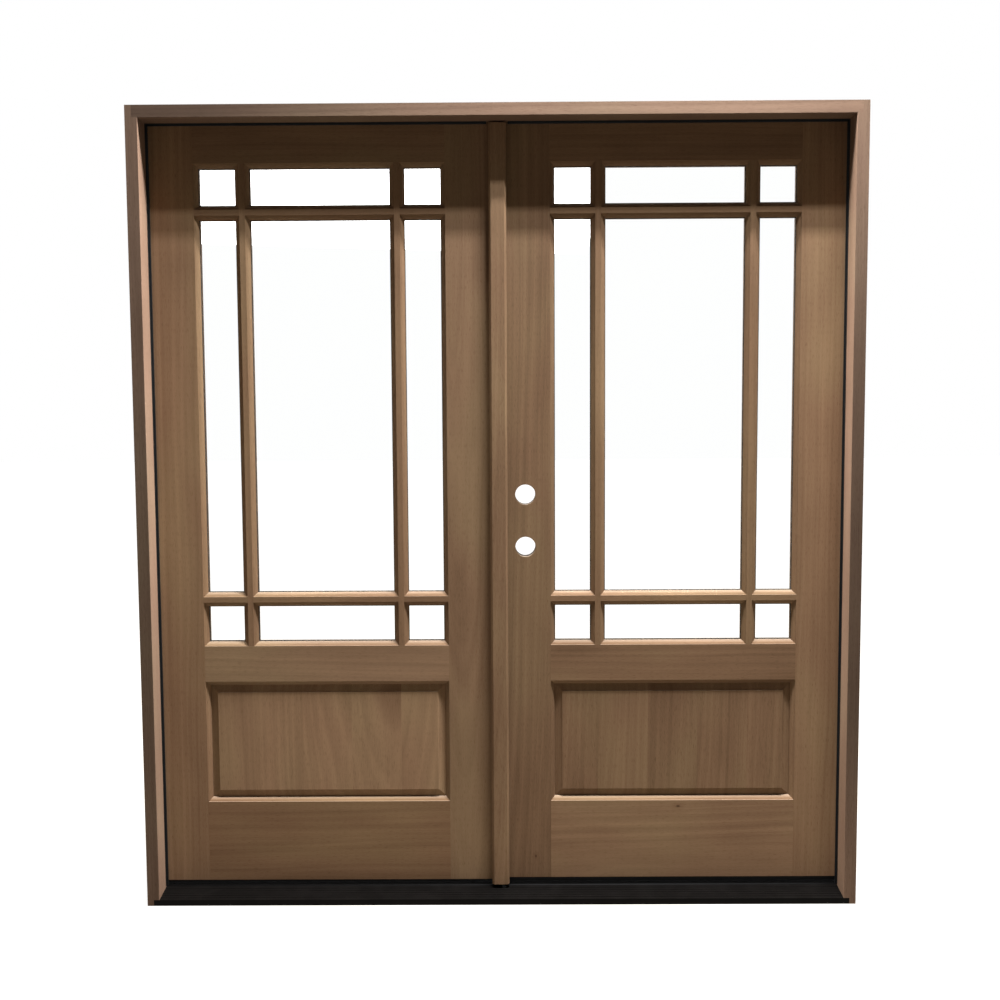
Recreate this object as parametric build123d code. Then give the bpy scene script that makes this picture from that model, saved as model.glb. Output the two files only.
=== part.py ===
"""Prehung pair of glazed and panelled timber entrance doors in a rabbeted frame.

X runs to the right seen from outside, Y runs inwards, Z runs up. The origin is at the
middle of the sill's underside. All sizes are in millimetres.
"""
import os
from functools import lru_cache

from build123d import *

# Frame: two jambs and a head, rabbeted on the inside for the leaves
frame_width = 1890
frame_height = 2094
frame_depth = 116
jamb_thickness = 32
rabbet_depth = 13
housing_depth = 15
frame_edge_easing = 1

# Sill: sloping deck over a core, with a cap under the leaves
nose_height = 16
deck_rear_height = 26.5
deck_rear_set_back = 2
deck_thickness = 2.5
cap_height = 29
cap_chamfer = 2
groove_count = 5
groove_width = 2.4
groove_depth = 0.9
groove_pitch = 10.5
groove_first = 9

# Leaves
leaf_thickness = 45
leaf_bottom = 42
leaf_edge_gap = 5
meeting_gap = 20
meeting_bevel = 2.8
active_foot_trim = 5
stile_width = 127
bottom_rail_height = 218
panel_opening_height = 331
mid_rail_height = 97
top_rail_height = 108

# Glazing bars and the moulded edge that runs round every opening
bar_fillet = 15
corner_pane = 118.5
sticking_width = 11
sticking_depth = 14
sticking_quirk = 2.5
sticking_bulge = 1.2
sight_flat = 2
glass_thickness = 6
glass_edge_room = 1.5
bead_quirk = 1
bead_round = 11
bead_bulge = 3.2

# Raised panel
panel_edge_room = 2
panel_bevel_width = 18.8
panel_bevel_rise = 6
panel_step = 2
panel_step_slope = 1.2

# Lock bores in the active leaf
lock_bore_radius = 27
lock_backset = 60.3
lock_bore_height = 953
deadbolt_spacing = 139.7
edge_bore_radius = 12.7

# Astragal on the passive leaf
astragal_width = 46
astragal_thickness = 16
astragal_stem = 15
astragal_bottom = 35
astragal_head_clearance = 5
astragal_easing = 5.5

# Seals
seal_gap = 5
seal_clearance = 0.5
seal_width = 15
seal_reveal = 5
seal_nose = 2
head_seal_notch = 5
sweep_height = 7.5
sweep_base = 3
sweep_fin_count = 4
sweep_fin_width = 2.5
sweep_width = 35
sweep_end_room = 2

# Hinges, three on each leaf
hinge_height = 101.6
hinge_top_offset = 178
hinge_bottom_offset = 279
plate_thickness = 2.5
plate_width = 38
plate_corner_radius = 15.9
knuckle_radius = 7
knuckle_count = 5
knuckle_gap = 0.4
pin_radius = 3.95
pin_clearance = 0.05
pin_tip_radius = 5
pin_tip_height = 3

# Planes that the pieces share
frame_front = -frame_depth / 2
frame_back = frame_depth / 2
leaf_back = frame_back
leaf_front = leaf_back - leaf_thickness
stop_back = leaf_front - seal_gap
frame_side = frame_width / 2
stop_side = frame_side - jamb_thickness
rabbet_side = stop_side + rabbet_depth
housing_side = stop_side + housing_depth
stop_top = frame_height - jamb_thickness
rabbet_top = stop_top + rabbet_depth
deck_rear = stop_back - deck_rear_set_back

# Outline of a leaf, written for the right-hand one
meeting_edge = meeting_gap / 2
hinge_edge = rabbet_side - leaf_edge_gap
leaf_top = rabbet_top - leaf_edge_gap
meeting_arris = meeting_edge + stile_width
hinge_arris = hinge_edge - stile_width
panel_bottom = leaf_bottom + bottom_rail_height
panel_top = panel_bottom + panel_opening_height
glass_bottom = panel_top + mid_rail_height
glass_top = leaf_top - top_rail_height
pin_x = (hinge_edge + rabbet_side) / 2
pin_y = leaf_back + knuckle_radius
seal_back = leaf_front - seal_clearance
seal_top = stop_top - seal_reveal
astragal_top = stop_top - astragal_head_clearance


def spans(low, high):
    """The three pane spans between two arrises: corner, middle, corner."""
    inner_low = low + corner_pane + bar_fillet
    inner_high = high - corner_pane - bar_fillet
    return [(low, low + corner_pane), (inner_low, inner_high), (high - corner_pane, high)]


columns = spans(meeting_arris, hinge_arris)
rows = spans(glass_bottom, glass_top)
panel_opening = (meeting_arris, hinge_arris, panel_bottom, panel_top)


def block(x0, x1, y0, y1, z0, z1):
    """A straight block between two corners."""
    middle = ((x0 + x1) / 2, (y0 + y1) / 2, (z0 + z1) / 2)
    return Pos(*middle) * Box(x1 - x0, y1 - y0, z1 - z0)


def outline(points):
    """A flat face inside straight edges."""
    return make_face(Polyline(*points, close=True))


def prism_x(points, x0, x1):
    """An outline in Y and Z, drawn out from x0 to x1."""
    return Pos(x0, 0, 0) * extrude(Plane.YZ * outline(points), x1 - x0)


def prism_z(points, z0, z1):
    """An outline in X and Y, drawn up from z0 to z1."""
    return Pos(0, 0, z0) * extrude(outline(points), z1 - z0)


def joined(pieces):
    """Pieces glued or cut from one blank, as a single solid."""
    return pieces[0].fuse(*pieces[1:]).clean() if len(pieces) > 1 else pieces[0]


def group(pieces):
    """Separate solids of one kind that share a node."""
    return Compound([solid for piece in pieces for solid in piece.solids()])


def other_hand(shape):
    """The same piece on the left-hand side."""
    return mirror(shape, about=Plane.YZ)


# Moulded edges

def ovolo_profile(quirk, round_bottom, depth, bulge):
    """Section of a moulded edge: a step down from the face, then a round that bulges over its chord."""
    start = Vector(0, -quirk)
    end = Vector(sticking_width, -round_bottom)
    chord = end - start
    crown = (start + end) * 0.5 + Vector(-chord.Y, chord.X).normalized() * bulge
    curve = ThreePointArc(start, crown, end)
    back = Polyline(end, (sticking_width, -depth), (0, -depth), start)
    return make_face([*curve.edges(), *back.edges()])


@lru_cache(maxsize=None)
def mitred_run(length, quirk, round_bottom, depth, bulge):
    """A length of moulding mitred at both ends, drawn about its middle."""
    profile = Plane.YZ * ovolo_profile(quirk, round_bottom, depth, bulge)
    moulding = extrude(profile, length / 2, both=True)
    half = length / 2
    inner_half = half - sticking_width
    plan = outline([(-half, 0), (half, 0), (inner_half, sticking_width), (-inner_half, sticking_width)])
    return moulding & extrude(plan, depth + quirk, both=True)


def run_on_side(opening, side, outside, section):
    """A mitred run set along one side of an opening, on the outside or inside face."""
    x0, x1, z0, z1 = opening
    across = {"left": 1, "right": -1}.get(side, 0)
    up = {"bottom": 1, "top": -1}.get(side, 0)
    inward = Vector(across, 0, up)
    outward = Vector(0, -1 if outside else 1, 0)
    half_width = (x1 - x0) / 2
    half_height = (z1 - z0) / 2
    face = leaf_front if outside else leaf_back
    start = Vector(x0 + half_width - across * half_width, face, z0 + half_height - up * half_height)
    length = 2 * (half_width if up else half_height)
    seat = Plane(origin=start, x_dir=inward.cross(outward), z_dir=outward)
    return seat.location * mitred_run(length, *section)


bead_depth = leaf_thickness - sticking_depth - glass_thickness
sticking_section = (sticking_quirk, sticking_depth - sight_flat, sticking_depth, sticking_bulge)
bead_section = (bead_quirk, bead_quirk + bead_round, bead_depth, bead_bulge)


def sticking(opening, side):
    """Outside moulded edge of a glazed opening."""
    return run_on_side(opening, side, True, sticking_section)


def panel_sticking(side):
    """Moulded edges on both faces of the panel opening; the groove lies between them."""
    return [run_on_side(panel_opening, side, outside, sticking_section) for outside in (True, False)]


# Leaf joinery, written for the right-hand leaf

def hinge_centres():
    """Heights of the three hinges."""
    top = leaf_top - hinge_top_offset - hinge_height / 2
    bottom = leaf_bottom + hinge_bottom_offset + hinge_height / 2
    return [bottom, (bottom + top) / 2, top]


def plate_blank(x0, x1, z):
    """A hinge plate, or the recess routed for it: two corners are round."""
    inner = leaf_back - plate_width
    low = z - hinge_height / 2
    high = z + hinge_height / 2
    sheet = outline([(inner, low), (leaf_back, low), (leaf_back, high), (inner, high)])
    rounded = fillet(sheet.vertices().group_by(Axis.X)[0], plate_corner_radius)
    return Pos(x0, 0, 0) * extrude(Plane.YZ * rounded, x1 - x0)


def mortises(x0, x1):
    """Recesses for the three hinge plates between two values of X."""
    return [plate_blank(x0, x1, z) for z in hinge_centres()]


def hinge_stile():
    core = block(hinge_arris, hinge_edge, leaf_front, leaf_back, leaf_bottom, leaf_top)
    edges = [sticking((*columns[2], *row), "right") for row in rows] + panel_sticking("right")
    return joined([core, *edges]).cut(*mortises(hinge_edge - plate_thickness, hinge_edge))


def meeting_stile(bevel):
    corners = [(meeting_edge + bevel, leaf_front), (meeting_arris, leaf_front),
               (meeting_arris, leaf_back), (meeting_edge, leaf_back)]
    core = prism_z(corners, leaf_bottom, leaf_top)
    edges = [sticking((*columns[0], *row), "left") for row in rows] + panel_sticking("left")
    return joined([core, *edges])


def lock_bores():
    """Through bores for a lockset and a deadbolt, each with a bore from the edge for its bolt."""
    through = Rotation(90, 0, 0) * Cylinder(lock_bore_radius, leaf_thickness * 2)
    from_edge = Rotation(0, 90, 0) * Cylinder(edge_bore_radius, lock_backset)
    y = (leaf_front + leaf_back) / 2
    bores = []
    for z in (lock_bore_height, lock_bore_height + deadbolt_spacing):
        bores.append(Pos(meeting_edge + lock_backset, y, z) * through)
        bores.append(Pos(meeting_edge + lock_backset / 2, y, z) * from_edge)
    return bores


def foot_trimmed(shape):
    """A member of the active leaf, cut a little shorter at its foot."""
    return shape - block(0, hinge_edge, leaf_front, leaf_back, leaf_bottom, leaf_bottom + active_foot_trim)


def rail(z0, z1, edges):
    """A rail between the stiles, with the moulded edges worked on it."""
    return joined([block(meeting_arris, hinge_arris, leaf_front, leaf_back, z0, z1), *edges])


def top_rail():
    return rail(glass_top, leaf_top, [sticking((*column, *rows[2]), "top") for column in columns])


def mid_rail():
    edges = [sticking((*column, *rows[0]), "bottom") for column in columns]
    return rail(panel_top, glass_bottom, edges + panel_sticking("top"))


def bottom_rail():
    return rail(leaf_bottom, panel_bottom, panel_sticking("bottom"))


def vertical_bars():
    """Two bars that run from rail to rail."""
    bars = []
    for near, far in ((columns[0], columns[1]), (columns[1], columns[2])):
        core = block(near[1], far[0], leaf_front, leaf_back, glass_bottom, glass_top)
        edges = [sticking((*near, *row), "right") for row in rows]
        edges += [sticking((*far, *row), "left") for row in rows]
        bars.append(joined([core, *edges]))
    return group(bars)


def cross_bars():
    """Short bars between the stiles and the vertical bars, two in each column."""
    bars = []
    for column in columns:
        for below, above in ((rows[0], rows[1]), (rows[1], rows[2])):
            core = block(*column, leaf_front, leaf_back, below[1], above[0])
            edges = [sticking((*column, *below), "top"), sticking((*column, *above), "bottom")]
            bars.append(joined([core, *edges]))
    return group(bars)


def glass_panes():
    """Nine sheets bedded on the back of the moulded edges."""
    front = leaf_front + sticking_depth
    room = glass_edge_room
    return group([
        block(x0 + room, x1 - room, front, front + glass_thickness, z0 + room, z1 - room)
        for x0, x1 in columns for z0, z1 in rows])


def glazing_beads():
    """Mitred frames of bead that hold the panes from the inside."""
    sides = ("bottom", "right", "top", "left")
    openings = [(*column, *row) for column in columns for row in rows]
    return group([
        joined([run_on_side(opening, side, False, bead_section) for side in sides])
        for opening in openings])


def panel_profile(span):
    """Section across the raised panel: tongue, bevel, sloping step and field on both faces."""
    half = span / 2
    bevel_foot = half - sticking_width
    bevel_head = bevel_foot - panel_bevel_width
    bevel_depth = sticking_depth - panel_bevel_rise
    field_edge = bevel_head - panel_step_slope
    front = [(half - panel_edge_room, sticking_depth), (bevel_foot, sticking_depth),
             (bevel_head, bevel_depth), (field_edge, bevel_depth - panel_step)]
    face = [(-across, depth) for across, depth in front] + front[::-1]
    back = [(across, leaf_thickness - depth) for across, depth in face[::-1]]
    return outline(face + back)


def raised_panel():
    """Panel raised on both faces; its bevels meet in mitres at the corners."""
    x0, x1, z0, z1 = panel_opening
    width = x1 - x0
    height = z1 - z0
    across = extrude(panel_profile(width), height / 2, both=True)
    along = extrude(Plane.ZY * panel_profile(height), width / 2, both=True)
    return Pos((x0 + x1) / 2, leaf_front, (z0 + z1) / 2) * (across & along)


def bottom_sweep(trim):
    """Flexible strip under the leaf: a base with fins that end just clear of the sill's cap."""
    x0 = meeting_edge + meeting_bevel + sweep_end_room
    x1 = hinge_edge - sweep_end_room
    y0 = (leaf_front + leaf_back - sweep_width) / 2
    fin_pitch = (sweep_width - sweep_fin_width) / (sweep_fin_count - 1)
    fin_top = leaf_bottom - sweep_base
    pieces = [block(x0, x1, y0, y0 + sweep_width, fin_top, leaf_bottom + trim)]
    for index in range(sweep_fin_count):
        y = y0 + index * fin_pitch
        pieces.append(block(x0, x1, y, y + sweep_fin_width, leaf_bottom - sweep_height, fin_top))
    return joined(pieces)


# Hinges, written for the right-hand leaf

def hinge_half(plate_x0, plate_x1, first_knuckle):
    """One plate of each hinge with every second knuckle, starting at the given one."""
    length = (hinge_height - knuckle_gap * (knuckle_count - 1)) / knuckle_count
    halves = []
    for centre in hinge_centres():
        low = centre - hinge_height / 2
        pieces = [plate_blank(plate_x0, plate_x1, centre)]
        for index in range(first_knuckle, knuckle_count, 2):
            z = low + index * (length + knuckle_gap)
            pieces.append(Pos(pin_x, pin_y, z + length / 2) * Cylinder(knuckle_radius, length))
            pieces.append(block(plate_x0, plate_x1, leaf_back, pin_y, z, z + length))
        bore = Pos(pin_x, pin_y, centre) * Cylinder(pin_radius + pin_clearance, hinge_height * 2)
        halves.append(joined(pieces) - bore)
    return group(halves)


def leaf_hinge_plates():
    return hinge_half(hinge_edge - plate_thickness, hinge_edge, 1)


def frame_hinge_plates():
    return hinge_half(rabbet_side, rabbet_side + plate_thickness, 0)


def hinge_pins():
    """Loose pins with a button at each end."""
    pins = []
    for centre in hinge_centres():
        shank = Cylinder(pin_radius, hinge_height)
        lift = (hinge_height + pin_tip_height) / 2
        tips = [Pos(0, 0, side * lift) * Cylinder(pin_tip_radius, pin_tip_height) for side in (-1, 1)]
        pins.append(Pos(pin_x, pin_y, centre) * joined([shank, *tips]))
    return group(pins)


# Frame and sill

def rabbeted_section(stop_face, rabbet_face, back):
    """Section of a jamb or head: distance across, then depth; the stop's corner is eased."""
    ease = frame_edge_easing
    return [(stop_face + ease, frame_front), (stop_face, frame_front + ease), (stop_face, stop_back),
            (rabbet_face, stop_back), (rabbet_face, frame_back), (back, frame_back), (back, frame_front)]


def head_blank():
    section = rabbeted_section(stop_top, rabbet_top, frame_height)
    return prism_x([(depth, up) for up, depth in section], -housing_side, housing_side)


def sill_housing():
    """The whole outline of the sill, which the feet of the jambs are cut to."""
    points = [(frame_front, 0), (frame_front, nose_height), (deck_rear, deck_rear_height),
              (deck_rear, cap_height), (frame_back, cap_height), (frame_back, 0)]
    return prism_x(points, -housing_side, housing_side)


def right_jamb():
    blank = prism_z(rabbeted_section(stop_side, rabbet_side, frame_side), 0, frame_height)
    cuts = [head_blank(), sill_housing(), *mortises(rabbet_side, rabbet_side + plate_thickness)]
    return blank.cut(*cuts)


def deck_height(y):
    """Height of the sloping deck at a depth."""
    slope = (deck_rear_height - nose_height) / (deck_rear - frame_front)
    return nose_height + slope * (y - frame_front)


def sill_deck():
    """Bent skin: an upright nose and a sloping tread with fine grooves along it."""
    inner_front = frame_front + deck_thickness
    points = [(frame_front, 0), (frame_front, nose_height), (deck_rear, deck_rear_height),
              (deck_rear, deck_rear_height - deck_thickness),
              (inner_front, deck_height(inner_front) - deck_thickness), (inner_front, 0)]
    skin = prism_x(points, -housing_side, housing_side)
    grooves = []
    for index in range(groove_count):
        y0 = frame_front + groove_first + index * groove_pitch
        y1 = y0 + groove_width
        top = deck_height(y1) + groove_depth
        floor = [(y0, deck_height(y0) - groove_depth), (y1, deck_height(y1) - groove_depth)]
        cut = [*floor, (y1, top), (y0, top)]
        grooves.append(prism_x(cut, -housing_side, housing_side))
    return skin.cut(*grooves)


def sill_substrate():
    """Solid core under the deck and the cap."""
    front = frame_front + deck_thickness
    top = deck_rear_height - deck_thickness
    points = [(front, 0), (front, deck_height(front) - deck_thickness), (deck_rear, top),
              (frame_back, top), (frame_back, 0)]
    return prism_x(points, -housing_side, housing_side)


def sill_cap():
    """Level cap that the leaves close over."""
    bottom = deck_rear_height - deck_thickness
    shoulder = cap_height - cap_chamfer
    points = [(deck_rear, bottom), (deck_rear, shoulder), (deck_rear + cap_chamfer, cap_height),
              (frame_back - cap_chamfer, cap_height), (frame_back, shoulder), (frame_back, bottom)]
    return prism_x(points, -housing_side, housing_side)


# Seals

def seal_section(low, high, nose_end):
    """Section of a seal between two values across, with a round nose at one end."""
    sheet = outline([(low, stop_back), (high, stop_back), (high, seal_back), (low, seal_back)])
    return fillet(sheet.vertices().group_by(Axis.X)[nose_end], seal_nose)


def weatherstrip():
    inner = stop_side - seal_reveal
    return Pos(0, 0, cap_height) * extrude(seal_section(inner, inner + seal_width, 0), seal_top - cap_height)


def head_weatherstrip():
    """Two lengths under the head, cut back where the astragal passes between them."""
    reach = stop_side - seal_reveal + seal_width
    length = reach - astragal_width / 2 - head_seal_notch
    section = Plane.ZY * seal_section(seal_top, seal_top + seal_width, 0)
    right = Pos(reach, 0, 0) * extrude(section, length)
    return group([right, other_hand(right)])


# Astragal on the left-hand leaf

def astragal():
    """Moulded cover strip of the T-section, lapping both leaves on the outside."""
    half = astragal_width / 2
    front = stop_back - astragal_thickness
    ease = astragal_easing
    leg_side = -meeting_edge + astragal_stem
    section = [(-half, leaf_front), (-half, front + ease), (-half + ease, front), (half - ease, front),
               (half, front + ease), (half, stop_back), (leg_side, stop_back), (leg_side, leaf_front)]
    return prism_z(section, astragal_bottom, astragal_top)


def astragal_leg():
    """Leg of the T-section, on the passive leaf's edge behind the cover strip."""
    return block(-meeting_edge, -meeting_edge + astragal_stem, leaf_front, leaf_back, leaf_bottom, leaf_top)


def astragal_seal():
    """Strip on the back of the flange that the active leaf closes on, run on up to the leaf's top."""
    inner = -meeting_edge + astragal_stem
    outer = astragal_width / 2 - seal_reveal
    strip = Pos(0, 0, leaf_bottom) * extrude(seal_section(inner, outer, -1), leaf_top - leaf_bottom)
    return strip - block(inner, outer, stop_back, stop_back + seal_clearance, astragal_top, leaf_top)


# Pieces made in both hands
handed = {
    "jamb": right_jamb(),
    "weatherstrip": weatherstrip(),
    "frame_hinge_plates": frame_hinge_plates(),
    "hinge_pins": hinge_pins(),
    "hinge_stile": hinge_stile(),
    "top_rail": top_rail(),
    "mid_rail": mid_rail(),
    "bottom_rail": bottom_rail(),
    "raised_panel": raised_panel(),
    "vertical_bars": vertical_bars(),
    "cross_bars": cross_bars(),
    "glass_panes": glass_panes(),
    "glazing_beads": glazing_beads(),
    "leaf_hinge_plates": leaf_hinge_plates(),
}
nodes = {
    "head_jamb": head_blank(),
    "sill_deck": sill_deck(),
    "sill_substrate": sill_substrate(),
    "sill_cap": sill_cap(),
    "head_weatherstrip": head_weatherstrip(),
}
for name, piece in handed.items():
    nodes["right_" + name] = piece
    nodes["left_" + name] = other_hand(piece)

# The right-hand leaf is the active one, the left-hand leaf carries the astragal
for name in ("hinge_stile", "bottom_rail"):
    nodes["right_" + name] = foot_trimmed(handed[name])
nodes["right_meeting_stile"] = foot_trimmed(meeting_stile(meeting_bevel)).cut(*lock_bores())
nodes["right_bottom_sweep"] = bottom_sweep(active_foot_trim)
nodes["left_meeting_stile"] = other_hand(meeting_stile(0))
nodes["left_bottom_sweep"] = other_hand(bottom_sweep(0))
nodes["astragal"] = astragal()
nodes["astragal_leg"] = astragal_leg()
nodes["astragal_seal"] = astragal_seal()

os.makedirs("parts", exist_ok=True)
for name, piece in nodes.items():
    export_step(piece, f"parts/{name}.step")
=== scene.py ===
import math

import bpy
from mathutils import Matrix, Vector


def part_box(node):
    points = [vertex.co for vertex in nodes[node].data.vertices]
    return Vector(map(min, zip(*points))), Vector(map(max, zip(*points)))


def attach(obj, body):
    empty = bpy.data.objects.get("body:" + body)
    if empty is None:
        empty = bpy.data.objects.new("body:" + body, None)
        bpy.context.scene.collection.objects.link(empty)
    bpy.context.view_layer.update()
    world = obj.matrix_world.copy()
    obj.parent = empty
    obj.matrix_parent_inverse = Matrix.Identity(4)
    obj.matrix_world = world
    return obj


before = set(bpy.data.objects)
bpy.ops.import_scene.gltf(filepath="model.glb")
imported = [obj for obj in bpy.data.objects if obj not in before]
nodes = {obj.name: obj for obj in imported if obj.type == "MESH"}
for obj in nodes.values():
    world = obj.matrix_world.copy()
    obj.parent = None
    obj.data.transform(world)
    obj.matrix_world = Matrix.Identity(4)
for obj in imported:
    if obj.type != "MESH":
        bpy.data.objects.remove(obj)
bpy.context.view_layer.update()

# Jambs and head of the frame.
# Three rabbeted boards of bare mahogany, planed and left unfinished. The head is housed
# into the jambs, so the jambs' grain runs up and the head's grain runs across.


def step(finish, kind, feeds=None, **settings):
    """One step of a finish: a shader node with its settings and what feeds its sockets."""
    made = finish.node_tree.nodes.new("ShaderNode" + kind)
    for name, value in settings.items():
        setattr(made, name, value)
    for socket, source in (feeds or {}).items():
        if isinstance(source, bpy.types.NodeSocket):
            finish.node_tree.links.new(source, made.inputs[socket])
        else:
            made.inputs[socket].default_value = source
    return made


def sums(finish, operation, *terms):
    """The result of one sum between two or three values of a finish."""
    return step(finish, "Math", dict(enumerate(terms)), operation=operation).outputs[0]


def ranged(finish, value, low, high, to_low=0.0, to_high=1.0):
    """A value of a finish, stretched from one range to another and held inside it."""
    feeds = {"Value": value, "From Min": low, "From Max": high, "To Min": to_low, "To Max": to_high}
    return step(finish, "MapRange", feeds).outputs[0]


def tinted(finish, amount, colour, tint, blend):
    """A colour of a finish with a second colour laid over it."""
    feeds = {0: amount, 6: colour, 7: tint}
    return step(finish, "Mix", feeds, data_type="RGBA", blend_type=blend).outputs[2]


def new_finish(name):
    """A fresh material and its main shader."""
    finish = bpy.data.materials.new(name)
    finish.use_nodes = True
    return finish, finish.node_tree.nodes["Principled BSDF"]


def dress(node_names, finish):
    """Puts one finish on whole pieces of the frame."""
    for name in node_names:
        piece = nodes[name]
        piece.data.materials.clear()
        piece.data.materials.append(finish)


GRAIN_AXIS = {"X": 0, "Z": 2}
DOOR_TIMBER = (0.198, 0.115, 0.063)
FRAME_TIMBER = (0.174, 0.108, 0.072)
OLIVE_CAST = (0.90, 1.0, 0.93, 1)
PORE_SHADE = (0.45, 0.38, 0.33, 1)
# Pale colour of the painted highlight where the wood faces up
LEDGE_HIGHLIGHT = (0.52, 0.44, 0.35, 1)
FRONT_EASING = 0.0008
FRONT_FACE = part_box("head_jamb")[0].y + FRONT_EASING
FRONT_FADE = 0.0005


def along_grain(finish, place, grain, stretch, turn=(0, 0, 0), shift=(0, 0, 0)):
    """Places for a pattern that is drawn out along the grain."""
    scale = [1.0, 1.0, 1.0]
    scale[GRAIN_AXIS[grain]] = stretch
    return step(finish, "Mapping", {"Vector": place, "Location": shift, "Rotation": turn,
                                    "Scale": scale}).outputs[0]


def growth_rings(finish, place, grain, draw):
    """Rings of uneven width about a pith that lies a little behind the board and leans from it."""
    pith = (0.31 * draw % 0.17 - 0.05, 0.045 + 0.13 * draw % 0.08, 0.7 * draw % 2.0)
    lean = [math.radians(angle) for angle in (14 + 9 * draw % 20, 10 - 7 * draw % 20, 8 - 5 * draw % 16)]
    log = along_grain(finish, place, grain, 0.14, lean, pith)
    across = [1.0, 1.0, 1.0]
    across[GRAIN_AXIS[grain]] = 0.0
    spoke = step(finish, "VectorMath", {0: log, 1: across}, operation="MULTIPLY").outputs[0]
    radius = step(finish, "VectorMath", {0: spoke}, operation="LENGTH").outputs["Value"]
    wander = step(finish, "TexNoise", {"Vector": log, "Scale": 8.0, "Detail": 1.5}).outputs[0]
    radius = sums(finish, "MULTIPLY_ADD", wander, 0.045, radius)
    return step(finish, "TexNoise", {"W": radius, "Scale": 75.0, "Detail": 2.0, "Roughness": 0.55},
                noise_dimensions="1D").outputs[0]


def tight_knot(finish, colour, place, fibre, grain, knot):
    """A small dark knot, longer along the grain, in a soft halo."""
    x, z, radius = knot
    spread = [1 / radius, 0.0, 1 / radius]
    spread[GRAIN_AXIS[grain]] *= 0.55
    off = step(finish, "VectorMath", {0: place, 1: (x, 0, z)}, operation="SUBTRACT").outputs[0]
    off = step(finish, "VectorMath", {0: off, 1: spread}, operation="MULTIPLY").outputs[0]
    away = step(finish, "VectorMath", {0: off}, operation="LENGTH").outputs["Value"]
    away = sums(finish, "MULTIPLY_ADD", fibre, 0.7, away)
    heart = ranged(finish, away, 1.25, 0.55, 0.0, 0.8)
    colour = tinted(finish, heart, colour, (0.035, 0.018, 0.010, 1), "MIX")
    halo = ranged(finish, away, 3.2, 0.9, 0.0, 0.35)
    return tinted(finish, halo, colour, (0.55, 0.45, 0.38, 1), "MULTIPLY")


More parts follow.
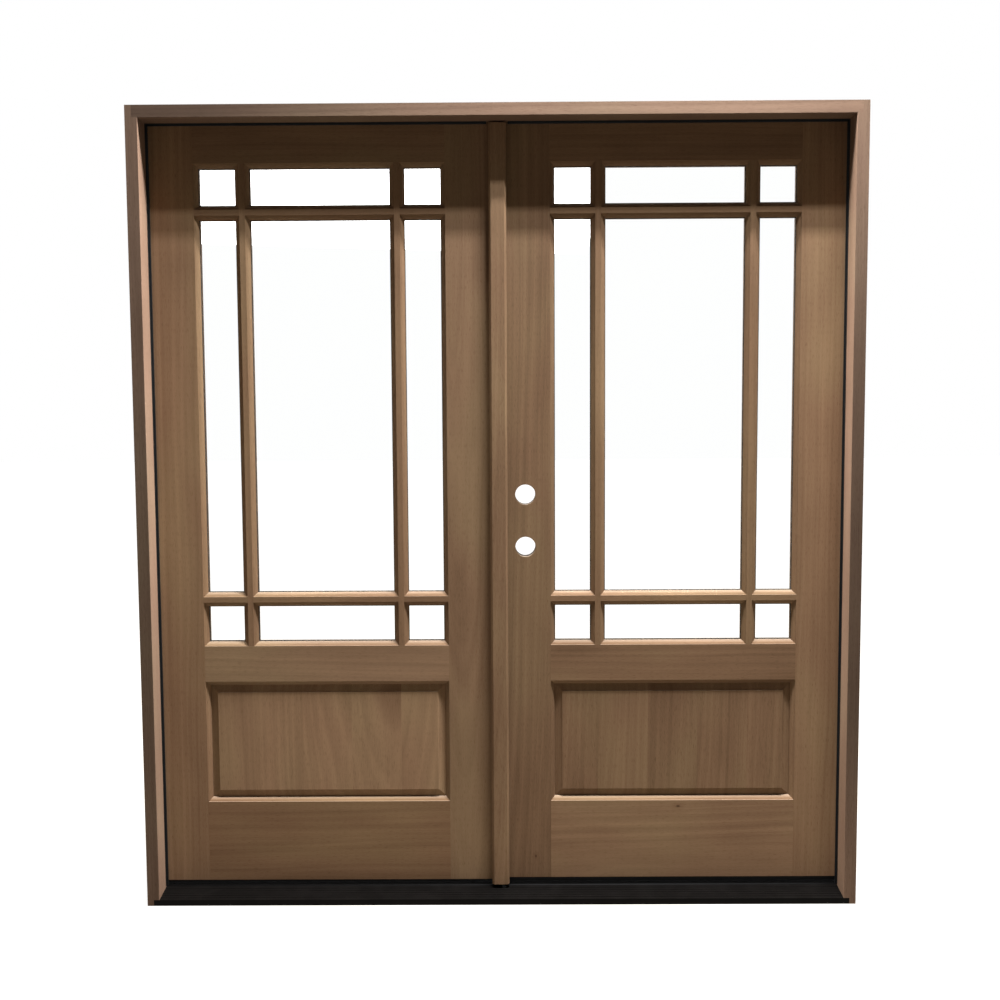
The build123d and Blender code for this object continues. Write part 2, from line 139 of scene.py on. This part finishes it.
def bare_timber(name, grain, tone, warmth, draw, boards=None, turned=False, knots=(), front=None,
                timber=DOOR_TIMBER):
    """Unfinished mahogany: soft growth rings and ribbons, fibres and open pores along the grain."""
    finish, skin = new_finish(name)
    spot = step(finish, "TexCoord")
    place = spot.outputs["Object"]
    tones = []
    if turned:
        # Strips that run across have their grain across too, and are known by the way they face
        facing = step(finish, "SeparateXYZ", {0: spot.outputs["Normal"]})
        level = sums(finish, "GREATER_THAN", sums(finish, "ABSOLUTE", facing.outputs[2]),
                     sums(finish, "ABSOLUTE", facing.outputs[0]))
        parts = step(finish, "SeparateXYZ", {0: place}).outputs
        swapped = step(finish, "CombineXYZ", {0: parts[2], 1: parts[1], 2: parts[0]}).outputs[0]
        place = step(finish, "Mix", {0: level, 4: place, 5: swapped}, data_type="VECTOR").outputs[1]
    if boards:
        # Glued-up boards: each has its own tone and its own cut of the log
        joint, width = boards
        side = step(finish, "SeparateXYZ", {0: place}).outputs[0]
        count = sums(finish, "DIVIDE", sums(finish, "SUBTRACT", side, joint), width)
        lot = step(finish, "TexWhiteNoise", {"W": sums(finish, "ADD", sums(finish, "FLOOR", count), draw)},
                   noise_dimensions="1D")
        tones.append(ranged(finish, lot.outputs["Value"], 0.0, 1.0, 0.92, 1.07))
        place = step(finish, "VectorMath", {0: lot.outputs["Color"], 1: (0.6, 0.6, 3.0), 2: place},
                     operation="MULTIPLY_ADD").outputs[0]
    if front:
        # Painted shade on the front face: darker than the rest of the board and uneven along its length;
        # where a tone rises above 1 it is painted light
        parts = step(finish, "SeparateXYZ", {0: place}).outputs
        facing_out = ranged(finish, parts[1], FRONT_FACE, FRONT_FACE - FRONT_FADE)
        for from_end, low_tone, to_end, high_tone in front:
            along = ranged(finish, parts[GRAIN_AXIS[grain]], from_end, to_end, low_tone, high_tone)
            tones.append(step(finish, "Mix", {0: facing_out, 2: 1.0, 3: along}).outputs[0])
    shift = (0.31 * draw % 1.0, 0.17 * draw % 1.0, 0.7 * draw % 2.0)
    rings = growth_rings(finish, place, grain, draw)
    ribbon = step(finish, "TexNoise", {"Vector": along_grain(finish, place, grain, 0.16, shift=shift),
                                       "Scale": 14.0, "Detail": 2.5}).outputs[0]
    streak = step(finish, "TexNoise", {"Vector": along_grain(finish, place, grain, 0.05, shift=shift),
                                       "Scale": 90.0, "Detail": 2.0}).outputs[0]
    fibre = step(finish, "TexNoise", {"Vector": along_grain(finish, place, grain, 0.014, shift=shift),
                                      "Scale": 420.0, "Detail": 4.0, "Roughness": 0.6}).outputs[0]
    pores = step(finish, "TexNoise", {"Vector": along_grain(finish, place, grain, 0.05, shift=shift),
                                      "Scale": 1300.0, "Detail": 1.0}).outputs[0]
    cloud = step(finish, "TexNoise", {"Vector": along_grain(finish, place, grain, 0.4, shift=shift),
                                      "Scale": 6.0, "Detail": 2.0}).outputs[0]
    layers = ((rings, 0.52), (ribbon, 0.60), (streak, 0.14), (fibre, 0.35), (cloud, 0.95))
    shade = 0.5 - 0.5 * sum(share for layer, share in layers)
    for layer, share in layers:
        shade = sums(finish, "MULTIPLY_ADD", layer, share, shade)
    red, green, blue = [value * tone for value in timber]
    dark = (red * 0.65 * warmth, green * 0.62, blue * 0.60 / warmth, 1)
    light = (red * 1.35 * warmth, green * 1.38, blue * 1.40 / warmth, 1)
    colour = tinted(finish, shade, dark, light, "MIX")
    olive = ranged(finish, cloud, 0.42, 0.62, 0.0, 0.5)
    colour = tinted(finish, olive, colour, OLIVE_CAST, "MULTIPLY")
    pit = ranged(finish, pores, 0.58, 0.68)
    colour = tinted(finish, sums(finish, "MULTIPLY", pit, 0.45), colour, PORE_SHADE, "MULTIPLY")
    for amount in tones:
        grey = step(finish, "CombineColor", {0: amount, 1: amount, 2: amount}).outputs[0]
        colour = tinted(finish, 1.0, colour, grey, "MULTIPLY")
    for knot in knots:
        colour = tight_knot(finish, colour, place, fibre, grain, knot)
    # Painted highlight: a pale colour laid over the wood where it faces up, on the ledges of the mouldings,
    # for the light from above
    upward = step(finish, "SeparateXYZ", {0: spot.outputs["Normal"]}).outputs[2]
    ledge_highlight = ranged(finish, upward, 0.50, 0.90, 0.0, 0.24)
    colour = tinted(finish, ledge_highlight, colour, LEDGE_HIGHLIGHT, "MIX")
    grit = sums(finish, "MULTIPLY_ADD", pit, -0.8, fibre)
    relief = step(finish, "Bump", {"Strength": 0.2, "Distance": 0.0002, "Height": grit})
    tree = finish.node_tree
    tree.links.new(colour, skin.inputs["Base Color"])
    tree.links.new(ranged(finish, fibre, 0.3, 0.7, 0.80, 0.66), skin.inputs["Roughness"])
    tree.links.new(relief.outputs[0], skin.inputs["Normal"])
    skin.inputs["Specular IOR Level"].default_value = 0.08
    return finish


# Along the front faces, painted shade; each pair of tones runs from one place on the board to another
# The head's front is painted darker towards its left end; the right jamb's front is painted lighter towards
# its top
left_front_shading = [(0.1, 0.62, 0.5, 0.50)]
right_front_light_and_shade = [(0.1, 0.80, 0.5, 0.44), (1.2, 1.0, 1.9, 1.65)]
head_front_shading = [(-0.75, 0.40, 0.0, 1.08)]
for name, grain, tone, draw, front in (("left_jamb", "Z", 1.22, 1, left_front_shading),
                                       ("right_jamb", "Z", 1.20, 2, right_front_light_and_shade),
                                       ("head_jamb", "X", 0.98, 3, head_front_shading)):
    dress([name], bare_timber(name + "_timber", grain, tone, 1.0, draw, front=front, timber=FRAME_TIMBER))

# Sill.
# A wood-composite core carries a sloping skin of dark bronze anodised aluminium with fine ribs
# against slipping, and a level cap of the same colour under the leaves.


def anodised(name, colour, roughness):
    """Dark anodised aluminium: an even film with faint draw lines and handling haze."""
    finish, skin = new_finish(name)
    place = step(finish, "TexCoord").outputs["Object"]
    drawn = step(finish, "TexNoise", {"Vector": along_grain(finish, place, "X", 0.004), "Scale": 1600.0,
                                      "Detail": 2.0}).outputs[0]
    haze = step(finish, "TexNoise", {"Vector": place, "Scale": 22.0, "Detail": 4.0}).outputs[0]
    worn = [value * 1.7 for value in colour]
    dust = ranged(finish, haze, 0.42, 0.75, 0.0, 0.6)
    tree = finish.node_tree
    tree.links.new(tinted(finish, dust, (*colour, 1), (*worn, 1), "MIX"), skin.inputs["Base Color"])
    grain = sums(finish, "MULTIPLY_ADD", drawn, 0.12, roughness - 0.06)
    tree.links.new(sums(finish, "MULTIPLY_ADD", haze, 0.08, grain), skin.inputs["Roughness"])
    relief = step(finish, "Bump", {"Strength": 0.10, "Distance": 0.0001, "Height": drawn})
    tree.links.new(relief.outputs[0], skin.inputs["Normal"])
    skin.inputs["Specular IOR Level"].default_value = 0.03
    return finish


def composite_core(name):
    """Pressed wood composite: dark brown, with chips and pores of the press."""
    finish, skin = new_finish(name)
    place = step(finish, "TexCoord").outputs["Object"]
    chips = step(finish, "TexVoronoi", {"Vector": along_grain(finish, place, "X", 0.35), "Scale": 420.0})
    fines = step(finish, "TexNoise", {"Vector": place, "Scale": 900.0, "Detail": 3.0}).outputs[0]
    tree = finish.node_tree
    shade = step(finish, "SeparateColor", {0: chips.outputs["Color"]}).outputs[0]
    colour = tinted(finish, shade, (0.030, 0.022, 0.017, 1), (0.075, 0.056, 0.043, 1), "MIX")
    tree.links.new(colour, skin.inputs["Base Color"])
    tree.links.new(ranged(finish, fines, 0.3, 0.7, 0.6, 0.85), skin.inputs["Roughness"])
    relief = step(finish, "Bump", {"Strength": 0.3, "Distance": 0.0004, "Height": fines})
    tree.links.new(relief.outputs[0], skin.inputs["Normal"])
    return finish


dress(["sill_deck"], anodised("dark_bronze_deck", (0.0034, 0.0029, 0.0026), 0.34))
dress(["sill_cap"], anodised("dark_bronze_cap", (0.0013, 0.0011, 0.0010), 0.34))
dress(["sill_substrate"], composite_core("sill_core_composite"))

# Weatherstrips.
# Foam-filled black seals with a smooth skin, pushed into the frame's stops on three sides.


def seal_skin(name):
    """Black seal skin: matt, with a slight orange peel and pale dust."""
    finish, skin = new_finish(name)
    place = step(finish, "TexCoord").outputs["Object"]
    peel = step(finish, "TexNoise", {"Vector": place, "Scale": 700.0, "Detail": 2.0}).outputs[0]
    dust = step(finish, "TexNoise", {"Vector": place, "Scale": 60.0, "Detail": 5.0}).outputs[0]
    tree = finish.node_tree
    settled = ranged(finish, dust, 0.45, 0.8, 0.0, 0.7)
    colour = tinted(finish, settled, (0.004, 0.004, 0.004, 1), (0.010, 0.0095, 0.009, 1), "MIX")
    tree.links.new(colour, skin.inputs["Base Color"])
    tree.links.new(ranged(finish, dust, 0.3, 0.7, 0.55, 0.75), skin.inputs["Roughness"])
    relief = step(finish, "Bump", {"Strength": 0.15, "Distance": 0.0003, "Height": peel})
    tree.links.new(relief.outputs[0], skin.inputs["Normal"])
    skin.inputs["Specular IOR Level"].default_value = 0.12
    return finish


black_seal = seal_skin("black_seal_skin")
dress(["left_weatherstrip", "right_weatherstrip", "head_weatherstrip"], black_seal)

# Weatherstrip bands.
# The foam bodies of the seals stand forward of the gap at the leaves; a thin black band along the back of the
# stops' inner faces, on both jambs and under the head, shows them and is partly painted shadow of that gap.
band_depth = 0.0075
band_thickness = 0.0008
band_rounding = 0.0003
astragal_notch = 0.028


def seal_shadow_band(low, high):
    """A thin black band between two corners, with rounded edges: seal foam and painted shadow."""
    bpy.ops.object.select_all(action="DESELECT")
    bpy.ops.mesh.primitive_cube_add(size=1.0, location=[(a + b) / 2 for a, b in zip(low, high)])
    band = bpy.context.active_object
    band.scale = [b - a for a, b in zip(low, high)]
    bpy.ops.object.transform_apply(location=True, rotation=True, scale=True)
    rounding = band.modifiers.new("rounding", "BEVEL")
    rounding.width = band_rounding
    rounding.segments = 3
    bpy.ops.object.modifier_apply(modifier="rounding")
    return band


def fix_on(body, name, pieces):
    """Joins like pieces into one, with its place in its mesh, and fixes it to a body."""
    bpy.ops.object.select_all(action="DESELECT")
    for piece in pieces:
        piece.select_set(True)
    whole = pieces[0]
    bpy.context.view_layer.objects.active = whole
    bpy.ops.object.join()
    bpy.ops.object.transform_apply(location=True, rotation=True, scale=True)
    whole.name = name
    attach(whole, body)
    return whole


def seat_bands(bands, name):
    """Fixes the bands of one side to the frame, with a smooth skin."""
    whole = fix_on("frame", name, bands)
    bpy.ops.object.shade_smooth_by_angle(angle=math.radians(50))
    whole.data.materials.append(black_seal)


stop_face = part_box("right_jamb")[0].x
stop_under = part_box("head_jamb")[0].z
seal_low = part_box("right_weatherstrip")[0]
band_back = seal_low.y
band_front = band_back - band_depth
# Each band is black seal skin on the stop's inner face, partly seal foam and partly painted shadow in the gap
for side, inward in (("left", 1), ("right", -1)):
    faces = sorted((-inward * stop_face, -inward * (stop_face - band_thickness)))
    seat_bands([seal_shadow_band((faces[0], band_front, seal_low.z), (faces[1], band_back, stop_under))],
               side + "_seal_shadow_band")
head_spans = ((-stop_face + band_thickness, -astragal_notch), (astragal_notch, stop_face - band_thickness))
seat_bands([seal_shadow_band((start, band_front, stop_under - band_thickness), (end, band_back, stop_under))
            for start, end in head_spans], "head_seal_shadow_band")

# Hinges.
# Three round-cornered steel butts on each leaf with a dark bronze coating, let in flush
# and held by four countersunk cross-head screws in each plate.


def bronzed_steel(name, ground, rubbed_bright):
    """Dark oil-rubbed bronze on steel: brown-black, with brighter rubbed patches."""
    finish, skin = new_finish(name)
    place = step(finish, "TexCoord").outputs["Object"]
    rubbed = step(finish, "TexNoise", {"Vector": place, "Scale": 85.0, "Detail": 5.0,
                                       "Roughness": 0.65}).outputs[0]
    fine = step(finish, "TexNoise", {"Vector": place, "Scale": 1500.0, "Detail": 2.0}).outputs[0]
    tree = finish.node_tree
    patch = ranged(finish, rubbed, 0.48, 0.72)
    colour = tinted(finish, patch, (*ground, 1), (*rubbed_bright, 1), "MIX")
    tree.links.new(colour, skin.inputs["Base Color"])
    tree.links.new(ranged(finish, rubbed, 0.35, 0.7, 0.48, 0.32), skin.inputs["Roughness"])
    relief = step(finish, "Bump", {"Strength": 0.10, "Distance": 0.0002, "Height": fine})
    tree.links.new(relief.outputs[0], skin.inputs["Normal"])
    skin.inputs["Metallic"].default_value = 0.85
    return finish


hinge_bronze = bronzed_steel("hinge_bronze", (0.026, 0.019, 0.015), (0.075, 0.046, 0.028))
for side in ("left", "right"):
    dress([side + "_frame_hinge_plates", side + "_hinge_pins", side + "_leaf_hinge_plates"], hinge_bronze)

# Hinge screws.
# Countersunk steel screws with cross recesses, bronzed like the plates, turned in by hand,
# so their recesses stand at different angles. Two outer and two inner screws hold each plate.
screw_radius = 0.0042
screw_depth = 0.0012
screw_proud = 0.00015
recess_length = 0.0046
recess_width = 0.0010
recess_depth = 0.0007
screw_rim = 0.0003
screw_turn = 0.7


def cut_recess(screw, size):
    """Cuts one arm of the cross recess into the screw's head."""
    bpy.ops.object.select_all(action="DESELECT")
    bpy.ops.mesh.primitive_cube_add(size=1.0, location=(screw_depth / 2, 0, 0), scale=size)
    cutter = bpy.context.active_object
    arm = screw.modifiers.new("recess", "BOOLEAN")
    arm.object = cutter
    arm.operation = "DIFFERENCE"
    bpy.context.view_layer.objects.active = screw
    bpy.ops.object.modifier_apply(modifier="recess")
    bpy.data.objects.remove(cutter)


def set_screws(screw, name, body, face, outward, heights, places):
    """Copies of the screw in the plates on one face, joined into one piece."""
    copies = []
    for height in heights:
        for depth, above in places:
            copy = screw.copy()
            copy.data = screw.data.copy()
            copy.location = (face + outward * (screw_proud - screw_depth / 2), depth, height + above)
            facing = 0.0 if outward > 0 else math.pi
            copy.rotation_euler = (screw_turn * len(copies), 0, facing)
            bpy.context.scene.collection.objects.link(copy)
            copies.append(copy)
    fix_on(body, name, copies)


bpy.ops.object.select_all(action="DESELECT")
bpy.ops.mesh.primitive_cylinder_add(vertices=28, radius=screw_radius, depth=screw_depth,
                                    rotation=(0, math.radians(90), 0))
screw = bpy.context.active_object
bpy.ops.object.transform_apply(location=True, rotation=True, scale=True)
rim = screw.modifiers.new("rim", "BEVEL")
rim.width = screw_rim
rim.segments = 2
bpy.ops.object.modifier_apply(modifier="rim")
cut_recess(screw, (2 * recess_depth, recess_length, recess_width))
cut_recess(screw, (2 * recess_depth, recess_width, recess_length))
bpy.ops.object.select_all(action="DESELECT")
screw.select_set(True)
bpy.context.view_layer.objects.active = screw
bpy.ops.object.shade_smooth_by_angle(angle=math.radians(35))
screw.data.materials.append(bronzed_steel("screw_bronze", (0.075, 0.050, 0.034), (0.21, 0.14, 0.09)))
plate_height = 0.1016
plate_gap = 0.0025
plates_low, plates_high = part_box("right_leaf_hinge_plates")
leaf_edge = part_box("right_hinge_stile")[1].x
frame_edge = leaf_edge + 2 * plate_gap
low_hinge = plates_low.z + plate_height / 2
high_hinge = plates_high.z - plate_height / 2
hinge_heights = (low_hinge, (low_hinge + high_hinge) / 2, high_hinge)
screw_places = ((0.044, -0.038), (0.030, -0.014), (0.030, 0.014), (0.044, 0.038))
for side, outward in (("left", -1), ("right", 1)):
    set_screws(screw, side + "_leaf_hinge_screws", side + "_leaf", outward * leaf_edge, outward,
               hinge_heights, screw_places)
    set_screws(screw, side + "_frame_hinge_screws", "frame", outward * frame_edge, -outward,
               hinge_heights, screw_places)
bpy.data.objects.remove(screw)

# Leaves: stiles and rails.
# Bare mahogany members 45 mm thick, doweled at the corners, with their moulded edges worked
# on the solid. Each member is cut from its own board, so each has its own tone.
member_tones = {
    "left_hinge_stile": ("Z", 1.05, 1.00, 11),
    "left_meeting_stile": ("Z", 1.03, 0.98, 12),
    "left_top_rail": ("X", 0.98, 0.99, 13),
    "left_mid_rail": ("X", 1.18, 0.96, 14),
    "left_bottom_rail": ("X", 0.90, 1.03, 15),
    "right_hinge_stile": ("Z", 1.04, 1.00, 16),
    "right_top_rail": ("X", 0.98, 1.00, 18),
    "right_mid_rail": ("X", 0.91, 1.00, 19),
}
for name, (grain, tone, warmth, draw) in member_tones.items():
    dress([name], bare_timber(name + "_timber", grain, tone, warmth, draw))
stile_knot = (0.0956, 0.1054, 0.0032)
rail_knot = (0.4813, 0.2435, 0.0045)
dress(["right_meeting_stile"],
      bare_timber("right_meeting_stile_timber", "Z", 0.86, 1.00, 17, knots=[stile_knot]))
dress(["right_bottom_rail"],
      bare_timber("right_bottom_rail_timber", "X", 1.10, 0.99, 20, knots=[rail_knot]))

# Leaves: glazing bars.
# Slim moulded bars, coped and mitred to each other, that divide each light into nine panes.
for index, side in enumerate(("left", "right")):
    dress([side + "_vertical_bars"], bare_timber(side + "_upright_bar_timber", "Z", 1.00, 1.00, 21 + index))
    dress([side + "_cross_bars"], bare_timber(side + "_cross_bar_timber", "X", 1.00, 1.00, 23 + index))

# Leaves: raised panels.
# Glued up from boards about 134 mm wide with upright grain, then fielded on both faces
# and let loose into the stiles and rails.
board_width = 0.134
left_board_joint = -0.4014
right_board_joint = 0.5327
dress(["left_raised_panel"],
      bare_timber("left_panel_timber", "Z", 1.31, 0.98, 31, boards=(left_board_joint, board_width)))
dress(["right_raised_panel"],
      bare_timber("right_panel_timber", "Z", 0.93, 1.00, 34, boards=(right_board_joint, board_width)))

# Glass and its beads.
# Clear panes bedded against the moulded edges from inside, each held by four mitred
# timber beads with a rounded face.


def clear_glass(name):
    """Clear float glass: colourless, with the faintest unevenness and a few dry smears."""
    finish, skin = new_finish(name)
    place = step(finish, "TexCoord").outputs["Object"]
    smears = step(finish, "TexNoise", {"Vector": along_grain(finish, place, "X", 0.3), "Scale": 9.0,
                                       "Detail": 4.0}).outputs[0]
    tree = finish.node_tree
    tree.links.new(ranged(finish, smears, 0.55, 0.85, 0.0, 0.012), skin.inputs["Roughness"])
    skin.inputs["Base Color"].default_value = (0.990, 0.997, 0.994, 1)
    skin.inputs["Transmission Weight"].default_value = 1.0
    skin.inputs["IOR"].default_value = 1.45
    return finish


pane_glass = clear_glass("pane_glass")
for index, side in enumerate(("left", "right")):
    dress([side + "_glass_panes"], pane_glass)
    dress([side + "_glazing_beads"],
          bare_timber(side + "_bead_timber", "Z", 1.03, 1.0, 41 + index, turned=True))

# Glazing bedding.
# Dark glazing compound squeezed out along each pane's outside edge and tooled off to a slope
# in the corner between the glass and the moulding.
bedding_width = 0.0018
bedding_height = 0.0014
bedding_feather = 0.0003
moulding_cover = 0.0095


def pane_edges(node, axis):
    """Low and high edges of a leaf's panes along one axis, read from the glass itself."""
    edges = sorted({round(corner.co[axis], 4) for corner in nodes[node].data.vertices})
    return list(zip(edges[::2], edges[1::2]))


def compound_line(low_x, high_x, low_z, high_z, glass_front):
    """One pane's line of compound: a flat ring, thickened and then sloped down to the glass."""
    bpy.ops.object.select_all(action="DESELECT")
    bpy.ops.mesh.primitive_plane_add(size=1.0, rotation=(math.radians(90), 0, 0),
                                     location=((low_x + high_x) / 2, glass_front, (low_z + high_z) / 2))
    ring = bpy.context.active_object
    ring.scale = (high_x - low_x, high_z - low_z, 1.0)
    bpy.ops.object.transform_apply(location=True, rotation=True, scale=True)
    bpy.ops.object.mode_set(mode="EDIT")
    bpy.ops.mesh.select_all(action="SELECT")
    bpy.ops.mesh.inset(thickness=bedding_width)
    bpy.ops.mesh.delete(type="FACE")
    bpy.ops.mesh.select_all(action="SELECT")
    bpy.ops.mesh.extrude_region_move(TRANSFORM_OT_translate={"value": (0, -bedding_height, 0)})
    bpy.ops.mesh.select_all(action="SELECT")
    bpy.ops.mesh.normals_make_consistent(inside=False)
    bpy.ops.object.mode_set(mode="OBJECT")
    half_width = bedding_width / 2
    for corner in ring.data.vertices:
        off_side = low_x + half_width < corner.co.x < high_x - half_width
        off_end = low_z + half_width < corner.co.z < high_z - half_width
        if off_side and off_end and corner.co.y < glass_front - bedding_height / 2:
            corner.co.y = glass_front - bedding_feather
    return ring


def compound_skin(name):
    """Dark grey compound: matt, skinned over, with fine tooling marks."""
    finish, skin = new_finish(name)
    place = step(finish, "TexCoord").outputs["Object"]
    tooling = step(finish, "TexNoise", {"Vector": place, "Scale": 350.0, "Detail": 3.0}).outputs[0]
    tree = finish.node_tree
    colour = tinted(finish, tooling, (0.016, 0.014, 0.011, 1), (0.040, 0.035, 0.028, 1), "MIX")
    tree.links.new(colour, skin.inputs["Base Color"])
    tree.links.new(ranged(finish, tooling, 0.3, 0.7, 0.6, 0.8), skin.inputs["Roughness"])
    relief = step(finish, "Bump", {"Strength": 0.15, "Distance": 0.0003, "Height": tooling})
    tree.links.new(relief.outputs[0], skin.inputs["Normal"])
    skin.inputs["Specular IOR Level"].default_value = 0.15
    return finish


dark_compound = compound_skin("dark_compound")
for side in ("left", "right"):
    panes = side + "_glass_panes"
    lines = []
    for low_x, high_x in pane_edges(panes, 0):
        for low_z, high_z in pane_edges(panes, 2):
            lines.append(compound_line(low_x + moulding_cover, high_x - moulding_cover,
                                       low_z + moulding_cover, high_z - moulding_cover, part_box(panes)[0].y))
    bedding = fix_on(side + "_leaf", side + "_glazing_bedding", lines)
    bedding.data.materials.append(dark_compound)

# Sweeps under the leaves.
# Black finned seals fixed under the leaves' bottom edges, a few millimetres clear of the sill's cap.
dress(["left_bottom_sweep", "right_bottom_sweep"], black_seal)

# Astragal.
# A T-section strip on the passive leaf: a cover with eased edges outside, a leg on the leaf's
# edge behind it, and a black seal that the active leaf closes on.
dress(["astragal"], bare_timber("astragal_timber", "Z", 0.97, 0.99, 51))
dress(["astragal_leg"], bare_timber("astragal_leg_timber", "Z", 1.00, 1.00, 52))
dress(["astragal_seal"], black_seal)

# Floor.
# A plain white floor that keeps the object's shadow.


def seen_directly(shaded):
    """1 where the camera sees a surface straight on, in a reflection or through glass."""
    rays = step(shaded, "LightPath")
    seen = sums(shaded, "MAXIMUM", rays.outputs["Is Camera Ray"], rays.outputs["Is Glossy Ray"])
    return sums(shaded, "MAXIMUM", seen, rays.outputs["Is Transmission Ray"])


bpy.ops.object.select_all(action="DESELECT")
floor_size = 60.0
bpy.ops.mesh.primitive_plane_add(size=floor_size, location=(0, 0, 0))
floor = bpy.context.active_object
floor.name = "floor"
near_white = 0.90
near_reach = 2.0
far_reach = 4.5
floor_paint, floor_skin = new_finish("floor_paint")
floor_skin.inputs["Base Color"].default_value = (0.17, 0.15, 0.12, 1)
floor_skin.inputs["Roughness"].default_value = 0.9
floor_skin.inputs["Emission Color"].default_value = (1, 1, 1, 1)
floor_spot = step(floor_paint, "TexCoord").outputs["Object"]
floor_reach = step(floor_paint, "VectorMath", {0: floor_spot}, operation="LENGTH").outputs["Value"]
floor_white = ranged(floor_paint, floor_reach, near_reach, far_reach, near_white, 1.0)
floor_glow = sums(floor_paint, "MULTIPLY", seen_directly(floor_paint), floor_white)
floor_paint.node_tree.links.new(floor_glow, floor_skin.inputs["Emission Strength"])
floor.data.materials.append(floor_paint)

# Light.
# A twin strip light high in front of the right-hand leaf, so that the head throws its shadow, and a
# ceiling panel above it. A soft panel lights the inside, two glancing lamps the jambs' inner faces.


def area_lamp(name, place, length, width, watts, aim=None):
    """A rectangular lamp that shines straight down, or at a point."""
    light = bpy.data.lights.new(name, "AREA")
    light.shape = "RECTANGLE"
    light.size = length
    light.size_y = width
    light.energy = watts
    lamp = bpy.data.objects.new(name, light)
    lamp.location = place
    if aim:
        lamp.rotation_euler = (Vector(aim) - lamp.location).to_track_quat("-Z", "Y").to_euler()
    bpy.context.scene.collection.objects.link(lamp)
    return light


strip_height = 4.0
strip_x = 0.80
strip_length = 1.2
strip_width = 0.06
for name, strip_y, watts in (("far_strip", -0.672, 121.0), ("near_strip", -0.535, 229.0)):
    strip = area_lamp(name, (strip_x, strip_y, strip_height), strip_length, strip_width, watts)
    strip.color = (0.96, 1.0, 1.06)
area_lamp("ceiling_panel", place=(0.2, -0.45, 5.5), length=2.4, width=0.5, watts=470.0)
area_lamp("inside_panel", place=(-0.8, 3.6, 3.2), length=3.0, width=2.0, watts=110.0, aim=(0.0, 0.0, 1.0))
glancing_x = 2.6
glancing_aim = 0.9
for name, side, watts in (("left_lamp", -1, 16.0), ("right_lamp", 1, 9.0)):
    glancing = area_lamp(name, place=(side * glancing_x, -0.12, 2.33), length=0.02, width=0.12,
                         watts=watts, aim=(-side * glancing_aim, 0.0, 1.4))
    glancing.spread = math.radians(60)

room = bpy.data.worlds.new("pale_room")
bpy.context.scene.world = room
room.use_nodes = True
room_light = 0.055
room_sky = room.node_tree.nodes["Background"]
warm_walls = (1.0, 0.80, 0.60, 1)
room_colour = tinted(room, seen_directly(room), warm_walls, (1, 1, 1, 1), "MIX")
room.node_tree.links.new(room_colour, room_sky.inputs["Color"])
room_level = ranged(room, seen_directly(room), 0.0, 1.0, room_light, 1.0)
room.node_tree.links.new(room_level, room_sky.inputs["Strength"])

# Camera.
# At eye height straight in front of the pair, tipped down a little, as the photograph was taken.
lens_in_pixels = 1128.0
image_width = 1000.0
film_width = 36.0
eye = (0.0190, -2.9803, 1.3031)
view_angles = (85.714, 0.3145, 0.2867)
view = bpy.data.cameras.new("front_view")
view.sensor_fit = "HORIZONTAL"
view.sensor_width = film_width
view.lens = film_width * lens_in_pixels / image_width
camera = bpy.data.objects.new("front_view", view)
camera.location = eye
camera.rotation_euler = [math.radians(angle) for angle in view_angles]
bpy.context.scene.collection.objects.link(camera)
bpy.context.scene.camera = camera
bpy.context.scene.view_settings.view_transform = "Standard"
